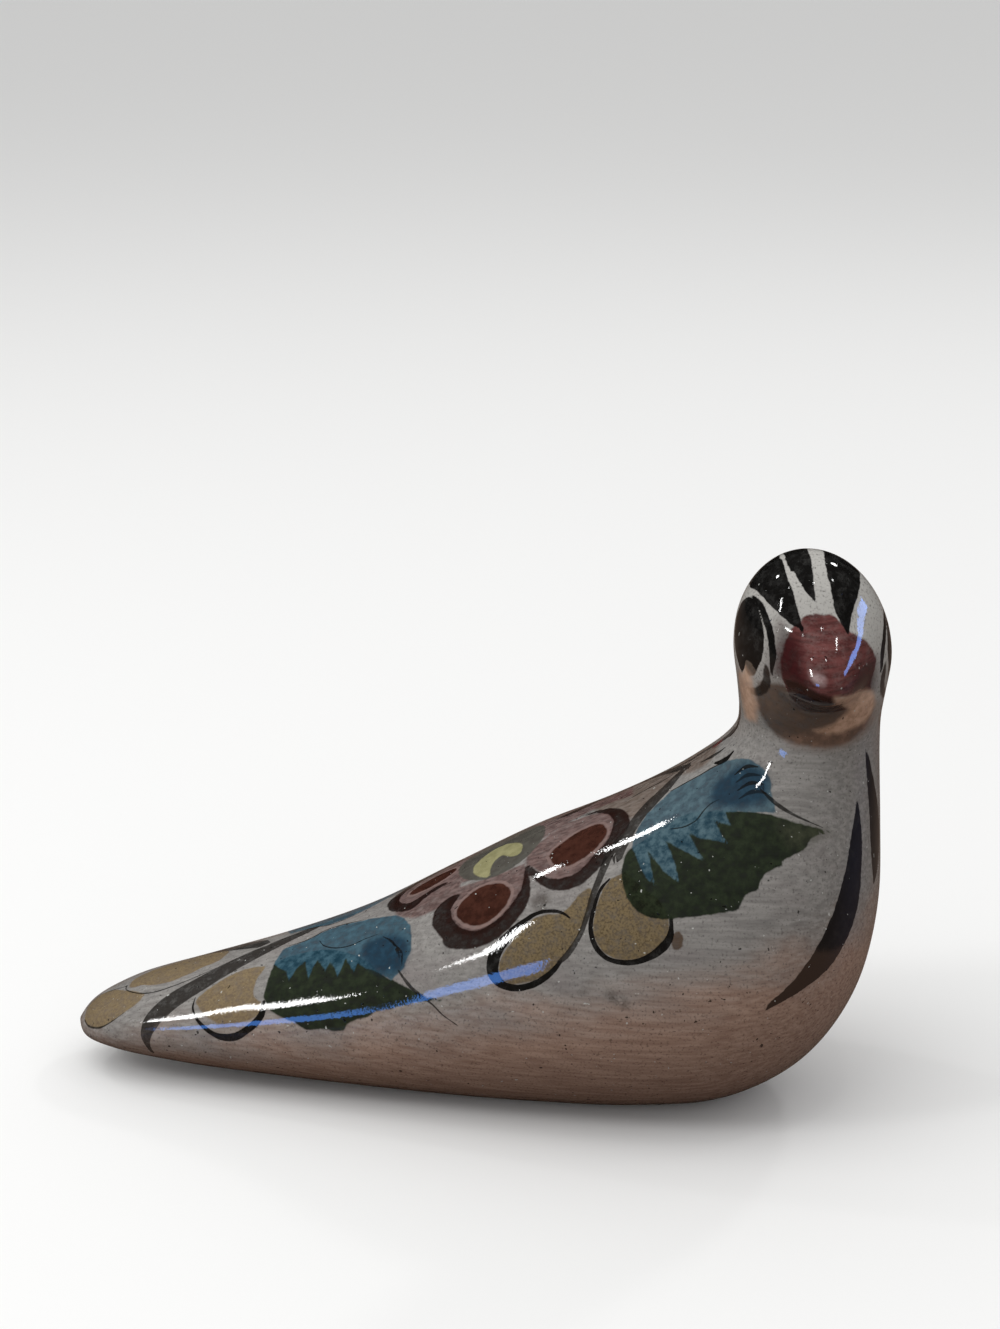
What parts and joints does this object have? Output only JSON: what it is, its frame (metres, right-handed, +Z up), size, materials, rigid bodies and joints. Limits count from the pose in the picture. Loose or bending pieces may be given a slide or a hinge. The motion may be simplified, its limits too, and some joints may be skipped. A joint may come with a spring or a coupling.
{
  "type": "bird figurine",
  "caption": "Glazed ceramic bird figurine: teardrop body on a flat underside, long blunt tail, thick neck, and a domed head turned to its right with a short fat beak.",
  "frame": {"origin": "on the surface the bird sits on, under the middle of its bounding box", "axes": "+X from the tail to the breast, +Z up, -Y the bird's right, where its head is turned"},
  "size_m": [0.193, 0.0752, 0.1349],
  "materials": {
    "painted_glaze": "clear gloss glaze over a warm grey ground with painted flowers and leaves"
  },
  "bodies": {
    "root": {"bird": "painted_glaze"}
  },
  "joints": []
}
